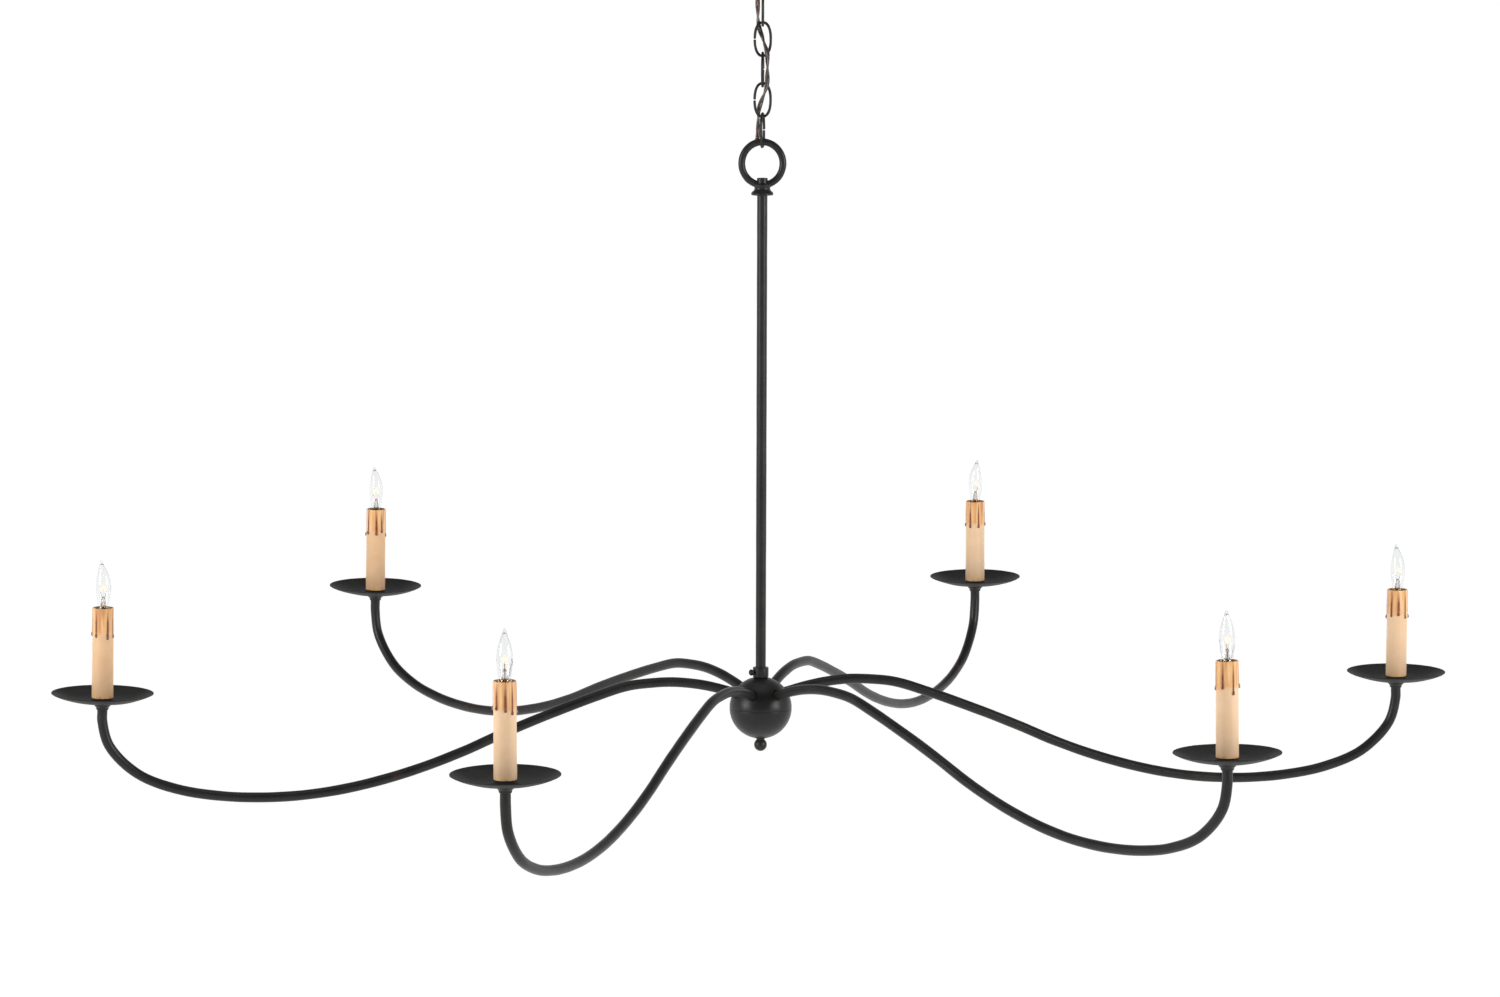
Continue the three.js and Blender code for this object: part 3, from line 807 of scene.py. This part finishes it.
def make_canopy_ring():
    """A ring nut with scalloped grips."""
    radius, bore, height, grips = (RING[k] for k in ("radius", "bore", "height", "grips"))
    top = -CANOPY["depth"] - CANOPY["wall"] - GAP
    profile = rounded(
        [
            (bore, top - height, 0.0004), (radius - 0.001, top - height, 0.0006),
            (radius, top - height + 0.0012, 0.0008), (radius, top - 0.0012, 0.0008),
            (radius - 0.001, top, 0.0006), (bore, top, 0.0004),
        ]
    )

    def shape(r, z, a):
        share = max(0, (r - bore) / (radius - bore) - 0.6) / 0.4
        return r - 0.0008 * share * (0.5 - 0.5 * math.cos(grips * a)) ** 0.6

    made = mesh_object("canopy_ring_nut", lathe(profile, 192, shape))
    dressed(made, "canopy_ring", IRON, "iron", "canopy_ring")


# ---------- chain ----------
def make_link(number, facing, turn, split_side, height):
    """A bent rod whose two rounded ends nearly meet at the middle of one side."""
    steps = 84
    domed = 0.6
    gap_half = LINK["split"] / 2 + domed * LINK["wire"]
    power = 2 / LINK_FULLNESS
    start = math.asin((gap_half / LINK["half_length"]) ** (1 / power))

    def stretched(value):
        """A cosine or sine, drawn out towards the corners."""
        return math.copysign(abs(value) ** power, value)

    points = []
    for i in range(steps + 1):
        a = start + (2 * math.pi - 2 * start) * i / steps
        across = LINK["half_width"] * stretched(math.cos(a))
        points.append(Vector((across, 0, LINK["half_length"] * stretched(math.sin(a)))))
    angle = math.radians(turn + (0 if facing else 90) + (0 if split_side > 0 else 180))
    place = Matrix.Translation((0, 0, height)) @ Matrix.Rotation(angle, 4, "Z")
    made = mesh_object(f"link_rod_{number}", sweep(points, LINK["wire"], 16, dome=domed), place)
    hammered(made, depth=0.00012, size=0.005, seed=number)
    dressed(made, f"link_{number}", IRON, "iron", f"chain_link_{number}")


def make_chain():
    for i, (number, facing, turn, split_side) in enumerate(LINKS):
        make_link(number, facing, turn, split_side, TOP_LINK - i * LINK["pitch"])


# ---------- top loop, stem and hub ----------
def make_top_loop():
    """A cast oval eye that runs into a waisted foot with a flange and a stub of pipe through it."""
    lift = Matrix.Translation((0, 0, HUB))
    outside = spline_profile(
        [(0.0113, 0.5701), (0.0095, 0.5716), (0.0086, 0.5738), (0.0089, 0.5765), (0.0093, 0.5785)], 5
    )
    foot = lathe(
        [
            (STEM["bore"], 0.579), (STEM["bore"], STEM["top"] + GAP),
            (STEM["radius"] + GAP, STEM["top"] + GAP), (STEM["radius"] + GAP, 0.566),
            *rounded([(0.0117, 0.566, 0.0008), (0.0124, 0.5682, 0.0013), (0.0116, 0.5699, 0.0006)]),
            *outside, (0.0070, 0.5800), (STEM["bore"], 0.5800),
        ],
        64,
    )
    width, middle, half_height = TOP_LOOP["half_width"], TOP_LOOP["height"], TOP_LOOP["half_height"]
    oval = [Vector((width * math.cos(a), 0, middle + half_height * math.sin(a))) for a in circle(120)]
    eye = sweep(oval, TOP_LOOP["tube"], 24, closed=True)
    made = mesh_object("top_loop_casting", joined(foot, eye), lift)
    fill_joins(made, 3)
    hammered(made, depth=0.00016, size=0.010, seed=3)
    dressed(made, "fixture", IRON, "iron", "top_loop")

    bore, outer, low, top = STEM["bore"], 0.0059, 0.5745, 0.5853
    profile = rounded([(bore, low), (outer, low), (outer, top, 0.0005), (bore, top, 0.0003)])
    stub = mesh_object("top_loop_pipe_end", lathe(profile, 48), lift)
    dressed(stub, "fixture", IRON, "iron", "top_loop")


def make_stem():
    rows = 130
    bottom, top = STEM["bottom"], STEM["top"]
    outer = [(STEM["radius"], HUB + bottom + (top - bottom) * k / rows) for k in range(rows + 1)]
    bore = [(STEM["bore"], outer[-1][1]), (STEM["bore"], outer[0][1])]
    made = mesh_object("stem_pipe", lathe([*outer, *bore], 40))
    hammered(made, depth=0.00010, size=0.030, seed=4)
    dressed(made, "fixture", IRON, "iron", "stem")


def make_collar():
    low, high = HUB + COLLAR["bottom"], HUB + COLLAR["top"]
    profile = rounded(
        [
            (COLLAR["bore"], low, 0.0003), (COLLAR["radius"], low, 0.0009),
            (COLLAR["radius"], high, 0.0009), (COLLAR["bore"], high, 0.0005),
        ]
    )
    made = mesh_object("stem_collar_barrel", lathe(profile, 64))
    hammered(made, depth=0.00005, size=0.006, seed=5)
    dressed(made, "fixture", IRON, "iron", "stem_collar")


def make_set_screw():
    """A round-headed screw that bears on the stem through the collar."""
    azimuth = math.radians(SET_SCREW["azimuth"])
    head, shank = SET_SCREW["head"], SET_SCREW["shank"]
    inner = STEM["radius"] + GAP
    middle = COLLAR["radius"] + head * 0.86
    profile = [(0, inner), *rounded([(shank, inner, 0.0003)]), (shank, COLLAR["radius"] + 0.0008)]
    profile += [
        (head * math.cos(a), middle + 0.8 * head * math.sin(a))
        for a in (math.radians(-62 + 152 * k / 18) for k in range(18))
    ]
    profile += [(0, middle + 0.8 * head)]
    out = Vector((math.cos(azimuth), math.sin(azimuth), 0))
    turn = out.to_track_quat("Z", "Y").to_matrix().to_4x4()
    place = Matrix.Translation((0, 0, HUB + SET_SCREW["height"])) @ turn
    made = mesh_object("set_screw_round_head", lathe(profile, 36), place)
    dressed(made, "set_screw", IRON, "iron", "set_screw")


def arm_drill(azimuth, droop, radius):
    """A rod along an arm's way through the ball, for cutting its hole."""
    inside, outside = (0.018, 0.0148), (0.045, 0.0221)
    ends = [droop_point(*inside, droop), droop_point(*outside, droop)]
    return moved(sweep(ends, radius, 40), from_hub(azimuth))


def half_ball(sign, hole):
    """One half of the hub ball, with a rolled edge at the seam."""
    outer, inner = HUB_BALL["radius"], HUB_BALL["radius"] - HUB_BALL["wall"]
    seam = HUB_BALL["seam"] / 2

    def rise(radius, steps):
        """The shell's line from the seam up to the edge of the hole at its pole."""
        pole = math.acos(hole / radius)
        turns = [pole * k / steps for k in range(1, steps + 1)]
        return [(radius * math.cos(a), radius * math.sin(a)) for a in turns]

    out, into = rise(outer, 32), rise(inner, 24)[::-1]
    edge = rounded([(inner, seam), (outer, seam, 0.00015)])
    return lathe([(r, HUB + sign * z) for r, z in [*edge, *out, *into]], 128)


def make_hub():
    upper = mesh_object("hub_upper_half", half_ball(1, STEM["radius"] + GAP))
    drills = [arm_drill(azimuth, droop, ARM_TUBE + 0.0004) for azimuth, droop, _, _ in ARMS]
    cutter = mesh_object("cutter", joined(*drills))
    applied(upper, ("BOOLEAN", {"operation": "DIFFERENCE", "object": cutter, "solver": "EXACT"}))
    bpy.data.objects.remove(cutter)
    dressed(upper, "fixture", IRON, "iron", "hub_upper_shell")
    lower = mesh_object("hub_lower_half", half_ball(-1, TIE_ROD["radius"] + GAP))
    hammered(lower, depth=0.00008, size=0.014, seed=6)
    dressed(lower, "hub_lower_shell", IRON, "iron", "hub_lower_shell")


def make_finial():
    """A ball on a short neck, threaded up the tie rod."""
    ball, centre, neck = (FINIAL[k] for k in ("ball", "centre", "neck"))
    bore = TIE_ROD["radius"] + GAP
    neck_top = -HUB_BALL["radius"] - GAP
    reach = math.acos(neck / ball)
    span = reach + math.pi / 2
    globe = [
        (ball * math.cos(reach - span * k / 24), centre + ball * math.sin(reach - span * k / 24))
        for k in range(24)
    ]
    floor = TIE_ROD["bottom"] - GAP
    profile = [
        (0, floor), (bore, floor), (bore, neck_top),
        *rounded([(neck + 0.0003, neck_top, 0.0003), (neck, neck_top - 0.0007, 0.0003)]), *globe,
        (0, centre - ball),
    ]
    made = mesh_object("finial_ball", lathe([(r, HUB + z) for r, z in profile], 56))
    hammered(made, depth=0.00006, size=0.005, seed=7)
    dressed(made, "finial", IRON, "iron", "finial")


def dress_inner_parts():
    """The castings and leads inside the ball keep their CAD shape."""
    inner = {"cluster_body": STEEL, "cluster_cap": STEEL, "tie_rod": STEEL, "wire_harness": WIRE}
    for name, material in inner.items():
        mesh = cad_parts[name].data
        mesh.materials.clear()
        mesh.materials.append(material)


# ---------- arms ----------
def droop_point(r, z, droop):
    """A point of the arm's centre line, turned down by the droop about its entry into the hub."""
    a = math.radians(droop)
    entry_r, entry_z = ARM_ENTRY
    x, h = r - entry_r, z - entry_z
    out = entry_r + x * math.cos(a) + h * math.sin(a)
    return Vector((out, 0, entry_z - x * math.sin(a) + h * math.cos(a)))


def from_hub(azimuth):
    """From the plane of an arm, heights from the hub's centre, to the world."""
    return Matrix.Translation((0, 0, HUB)) @ turned_by(azimuth)


def candle_place(azimuth, droop, lean):
    """From the candle's own frame, with its seat at the origin, to the world."""
    seat = Matrix.Translation(droop_point(CANDLE_RADIUS, CANDLE_HEIGHT, droop))
    return from_hub(azimuth) @ seat @ Matrix.Rotation(-math.radians(lean), 4, "Y")


def make_arm(number, azimuth, droop, lean):
    seat = droop_point(CANDLE_RADIUS, CANDLE_HEIGHT, droop)
    up = Vector((-math.sin(math.radians(lean)), 0, math.cos(math.radians(lean))))
    points = [droop_point(r, z, droop) for r, z in ARM_LINE] + [seat + up * h for h in ARM_TAIL]
    tube = sweep(spline(points, 8), ARM_TUBE, 24, dome=0.05)
    made = mesh_object(f"arm_tube_{number}", tube, from_hub(azimuth))
    hammered(made, depth=0.00018, size=0.022, seed=10 + number)
    dressed(made, "fixture", IRON, "iron", f"arm_{number}")


def make_pan(number, place):
    """A thin spun dish whose middle is raised just under the candle."""
    wall, hole, r = PAN["wall"], PAN["hole"], PAN["radius"]
    top = spline_profile(
        [
            (0.0118, -0.0036), (0.0150, -0.0052), (0.0240, -0.0050), (0.0330, -0.0038),
            (0.0420, -0.0014), (0.0490, 0.0010), (r - 0.0010, 0.0032),
        ],
        6,
    )
    under = [(max(x - 0.0004, hole + 0.006), z - wall) for x, z in reversed(top[6:])]
    profile = [
        (hole, -0.0052 - wall), (hole, -0.0020), *rounded([(0.0110, -0.0020, 0.0008)]), *top,
        *rounded([(r - 0.0002, 0.0036, 0.0004), (r, 0.0026, 0.0004)]), *under,
    ]
    made = mesh_object(f"pan_dish_{number}", lathe(profile[::-1], 96), place)
    hammered(made, depth=0.00035, size=0.024, seed=20 + number)
    dressed(made, "fixture", DULL_IRON, "iron", f"drip_pan_{number}")


def make_cup(number, place):
    """The flared collar that carries the pan on the arm."""
    bore = ARM_TUBE + 0.00045
    profile = rounded(
        [
            (bore, -0.0150), (0.0065, -0.0150, 0.0004), (0.0070, -0.0122, 0.0016),
            (0.0094, -0.0100, 0.0012), (0.0096, -0.0072, 0.0006), (bore, -0.0072),
        ],
        6,
    )
    made = mesh_object(f"pan_collar_{number}", lathe(profile, 56), place)
    hammered(made, depth=0.00008, size=0.006, seed=30 + number)
    dressed(made, "fixture", IRON, "iron", f"pan_cup_{number}")


def make_socket(number, place):
    """A lamp socket on its post, bored for the lamp's cap."""
    profile = rounded(
        [
            (0, 0.004), (0.0046, 0.004, 0.0005), (0.0046, 0.036), (0.0092, 0.044, 0.001),
            (0.0092, 0.0935, 0.0008), (0.0066, 0.0935, 0.0005), (0.0066, 0.0695), (0, 0.0695),
        ]
    )
    made = mesh_object(f"socket_body_{number}", lathe(profile, 48), place)
    dressed(made, "fixture", PHENOLIC, "socket", f"lamp_socket_{number}")


# ---------- candles ----------
def wax_runs(number, facing):
    """Runs of wax round a candle: angle, length, half width and how far the bead stands out."""
    chance = random.Random(100 + number)
    count = 7 + number % 2
    return [
        {
            "angle": facing + 2 * math.pi * (k + chance.uniform(-0.16, 0.16)) / count,
            "length": chance.uniform(0.027, 0.034),
            "width": chance.uniform(0.0009, 0.0013),
            "bead": chance.uniform(0.0013, 0.0019),
        }
        for k in range(count)
    ]


def run_at(run, angle, drop, radius):
    """How thick a run of wax stands at a place drop below the candle's top."""
    off = (angle - run["angle"] + math.pi) % (2 * math.pi) - math.pi
    across = off * radius
    reach_across, reach_down = 0.005, 0.004
    if abs(across) > reach_across or drop > run["length"] + reach_down:
        return 0.0
    ridge_height, ridge_end = 0.00042, 0.0004
    taper = 0.75 + 0.35 * drop / run["length"]
    ridge = ridge_height * math.exp(-((across / (run["width"] * taper)) ** 2))
    ridge *= 1 / (1 + math.exp((drop - run["length"]) / ridge_end))
    # The bead at its end is a drop: rounder below its middle, drawn out above it.
    bead_middle, bead_half_width, below, above = 0.0008, 0.00155, 0.0015, 0.0034
    down = drop - run["length"] + bead_middle
    tall = below if down > 0 else above
    spread = (across / bead_half_width) ** 2 + (down / tall) ** 2
    bead = run["bead"] * math.sqrt(1 - spread) if spread < 1 else 0.0
    return max(ridge, bead)


def make_sleeve(number, place, azimuth):
    """A candle tube with a rolled lip, wax runs in relief, and its stain kept as attributes."""
    runs = wax_runs(number, math.radians(-90 - azimuth) + (0 if number % 2 else 0.42))
    height = SLEEVE["top"] - SLEEVE["bottom"]
    sides = 144
    low_rows, high_rows = 24, 84
    glaze = 0.042  # below the top, where the runs lie, the rows are closer
    stain_drop, stain_wave, stain_edge = 0.0275, 0.0035, 0.0009
    film_height, film_edge, wobble_height = 0.00012, 0.0003, 0.00012
    foot_stain, foot_height = 0.9, 0.0022
    full_mark, mark_fade = 0.00024, 0.018  # relief at which a run is darkest, and how it fades in
    levels = [SLEEVE["bottom"] + (height - glaze) * k / low_rows for k in range(low_rows)]
    levels += [SLEEVE["top"] - glaze + (glaze - 0.0005) * k / high_rows for k in range(high_rows + 1)]
    bore = SLEEVE["bore"]
    lip = [(0.55, 0.00035), (0.25, 0.00005), (0.0, 0.0), (-0.25, 0.0001)]

    rows = []
    for z in levels:
        share = (z - SLEEVE["bottom"]) / height
        radius = SLEEVE["bottom_radius"] + (SLEEVE["top_radius"] - SLEEVE["bottom_radius"]) * share
        rows.append((radius, z, 1.0))
    for across, down in lip:
        middle = (SLEEVE["top_radius"] + bore) / 2
        rows.append((middle + across * (SLEEVE["top_radius"] - bore), SLEEVE["top"] - down, max(across, 0)))
    rows += [(bore, SLEEVE["top"] - 0.0005, 0), (bore, 0.085, 0), (bore, SLEEVE["bottom"], 0)]

    vertices, stains, marks = [], [], []
    for radius, z, relief in rows:
        drop = SLEEVE["top"] - z
        for a in circle(sides):
            wave = noise.noise(Vector((math.cos(a) * 1.7, math.sin(a) * 1.7, number)))
            edge = stain_drop + stain_wave * wave
            thick = max(run_at(run, a, drop, radius) for run in runs)
            film = film_height / (1 + math.exp((drop - edge) / film_edge))
            wobble = wobble_height * noise.noise(Vector((math.cos(a), math.sin(a), z * 60 + number)))
            at = radius + relief * (thick + film + wobble)
            vertices.append((at * math.cos(a), at * math.sin(a), z))
            soft = 1 / (1 + math.exp((drop - edge) / stain_edge))
            foot = foot_stain * math.exp(-((z - SLEEVE["bottom"]) / foot_height))
            stains.append(max(soft, foot))
            marks.append(min(1.0, thick / full_mark) ** 1.3 * min(1.0, 0.15 + drop / mark_fade))
    count = len(rows)
    faces = []
    for k in range(count):
        below, above = k * sides, (k + 1) % count * sides
        faces += [
            (below + i, below + (i + 1) % sides, above + (i + 1) % sides, above + i) for i in range(sides)
        ]
    made = mesh_object(f"candle_tube_{number}", (vertices, faces), place)
    for name, values in (("stain", stains), ("run", marks)):
        made.data.attributes.new(name, "FLOAT", "POINT").data.foreach_set("value", values)
    wax = TAN_WAX if number in TAN_CANDLES else PALE_WAX
    dressed(made, f"sleeve_{number}", wax, "candle_sleeve", f"candle_sleeve_{number}")


def bent(part, turn):
    """Bends the lamp's tip over to one side and turns it round."""
    vertices, faces = part
    made = []
    for x, y, z in vertices:
        t = max(0, (z - BULB["belly_at"]) / (BULB["tip"] - BULB["belly_at"]))
        made.append((x + BULB["bend"] * t * t, y, z))
    return moved((made, faces), turned_by(turn))


def bulb_glass(turn):
    """Blown glass of one thickness, with a tip drawn out and bent over."""
    outside = spline_profile(
        [
            (0.0055, 0.0915), (0.0057, 0.0950), (0.0062, 0.1000), (0.0073, 0.1075), (0.0081, 0.1140),
            (0.00825, 0.1190), (0.0077, 0.1250), (0.0064, 0.1312), (0.0047, 0.1366), (0.0029, 0.1409),
            (0.0016, 0.1441), (0.0010, 0.1460), (0.0011, 0.1471), (0.0006, 0.1477), (0, BULB["tip"]),
        ],
        5,
    )
    hollow_top = 0.1425
    hollow = [(r - GLASS_WALL, z) for r, z in outside if z < hollow_top and r > 1.6 * GLASS_WALL]
    inside = [*hollow, (0, hollow[-1][1] + 0.0012)]
    return bent(lathe(inside[::-1] + outside, 48), turn)


def bulb_stem():
    """The pinched glass stem that the leads stand in."""
    corners = [
        (0, 0.0930), (0.0044, 0.0930, 0.0006), (0.0031, 0.0965, 0.0012), (0.0026, 0.1040, 0.002),
        (0.0016, 0.1066, 0.0010), (0.0008, 0.1080, 0.0006), (0, 0.1084),
    ]
    return lathe(rounded(corners), 24)


def bulb_cap():
    """The screw cap with its round thread and contact."""
    radius, base, top, pitch, rows = BULB["cap"], BULB["cap_bottom"], 0.0925, 0.0021, 54
    bottom = base + 0.002

    def thread(r, z, a):
        if r < radius * 0.9:
            return r
        turned = (z / pitch + a / (2 * math.pi)) % 1
        return r - 0.00035 * (0.5 + 0.5 * math.cos(2 * math.pi * turned))

    contact = [(0, base), (0.0022, base + 0.0002), (0.0030, base + 0.0014)]
    shell = [(radius, bottom + (top - bottom) * k / rows) for k in range(rows + 1)]
    return lathe([*contact, *shell, (0.0050, top + 0.0004), (0, top + 0.0004)], 40, thread)


def bulb_lead(side):
    """One of the two leads, from the stem out to an end of the coil."""
    line = [(0.0016, 0.094), (0.0012, 0.104), (0.0022, 0.109), (0.0036, 0.1140)]
    return sweep(spline([(side * x, 0, z) for x, z in line], 6), 0.00028, 8, dome=0.5)


def bulb_filament():
    """A fine coil, bowed up between the leads."""
    coil = []
    turns, steps, half_span, radius = 22, 140, 0.0036, 0.00060
    for k in range(steps + 1):
        t = k / steps
        z = 0.1140 + 0.0052 * math.sin(math.pi * t) + 0.0012 * math.sin(3 * math.pi * t)
        a = 2 * math.pi * turns * t
        coil.append(Vector((-half_span + 2 * half_span * t, radius * math.cos(a), z + radius * math.sin(a))))
    return sweep(coil, 0.00021, 6, dome=0.5)


def make_bulb(number, place, turn):
    """A flame-shaped lamp, with the leads on its cap and the coil turned a little further."""
    coil_turn = 35

    def add(name, part, material, spin=None):
        made = mesh_object(f"{name}_{number}", part, place if spin is None else place @ turned_by(spin))
        dressed(made, f"lamp_{number}", material, "bulb_glass", f"bulb_{number}")

    add("bulb_glass", bulb_glass(turn), GLASS)
    add("bulb_stem", bulb_stem(), GLASS)
    add("bulb_cap", joined(bulb_cap(), bulb_lead(-1), bulb_lead(1)), BRASS, turn)
    add("filament", bulb_filament(), GLOW, turn + coil_turn)


def make_arms():
    for number, (azimuth, droop, lean, flame_turn) in enumerate(ARMS, 1):
        place = candle_place(azimuth, droop, lean)
        make_arm(number, azimuth, droop, lean)
        make_cup(number, place)
        make_pan(number, place)
        make_socket(number, place)
        make_sleeve(number, place, azimuth)
        make_bulb(number, place, flame_turn)


# ---------- studio ----------
def make_floor():
    half, height = FLOOR["half"], FLOOR["height"]
    corners = [(x * half, y * half, height) for x, y in ((-1, -1), (1, -1), (1, 1), (-1, 1))]
    made = mesh_object("floor", (corners, [(0, 1, 2, 3)]))
    made.data.materials.append(floor_material())


def add_light(name, place, size, power):
    """A square softbox aimed at the middle of the chandelier."""
    lamp = bpy.data.lights.new(name, "AREA")
    lamp.size = size
    lamp.energy = power
    made = bpy.data.objects.new(name, lamp)
    made.location = place
    aim = Vector((0, 0, -0.6)) - Vector(place)
    made.rotation_euler = aim.to_track_quat("-Z", "Y").to_euler()
    bpy.context.scene.collection.objects.link(made)


def set_world():
    """White as seen, but as a light dimmer in front and overhead, so round parts keep a dark middle."""
    world = bpy.data.worlds.new("studio")
    world.use_nodes = True
    tree = world.node_tree
    ground = tree.nodes["Background"]
    coordinate = tree.nodes.new("ShaderNodeTexCoord")
    split = tree.nodes.new("ShaderNodeSeparateXYZ")
    tree.links.new(coordinate.outputs["Generated"], split.inputs["Vector"])

    def graded(way, *limits):
        """A strength that goes smoothly from one value to another between two places on an axis."""
        made = tree.nodes.new("ShaderNodeMapRange")
        made.interpolation_type = "SMOOTHSTEP"
        tree.links.new(split.outputs[way], made.inputs["Value"])
        for socket, value in zip(("From Min", "From Max", "To Min", "To Max"), limits):
            made.inputs[socket].default_value = value
        return made.outputs["Result"]

    light = tree.nodes.new("ShaderNodeMath")
    light.operation = "MULTIPLY"
    tree.links.new(graded("Y", -0.75, 0.35, 0.12, 0.85), light.inputs[0])
    tree.links.new(graded("Z", 0.1, 0.8, 1.0, 0.3), light.inputs[1])
    seen = tree.nodes.new("ShaderNodeLightPath")
    pick = tree.nodes.new("ShaderNodeMix")
    tree.links.new(seen.outputs["Is Camera Ray"], pick.inputs[0])
    tree.links.new(light.outputs[0], pick.inputs[2])
    pick.inputs[3].default_value = 1.0
    tree.links.new(pick.outputs[0], ground.inputs["Strength"])
    ground.inputs["Color"].default_value = (1, 1, 1, 1)
    bpy.context.scene.world = world


def make_studio():
    make_floor()
    for name, x in (("softbox_left", -3.3), ("softbox_right", 3.3)):
        add_light(name, (x, -2.0, 0.1), size=1.5, power=85)
    add_light("softbox_top", (0, -0.4, 2.6), size=2.4, power=14)
    set_world()
    bpy.context.scene.view_settings.view_transform = "Standard"


set_camera()
make_cord()
make_crossbar()
make_nipple()
make_nut()
make_canopy()
make_canopy_ring()
make_hang_loop()
make_chain()
make_top_loop()
make_stem()
make_collar()
make_set_screw()
make_hub()
make_finial()
dress_inner_parts()
make_arms()
make_studio()
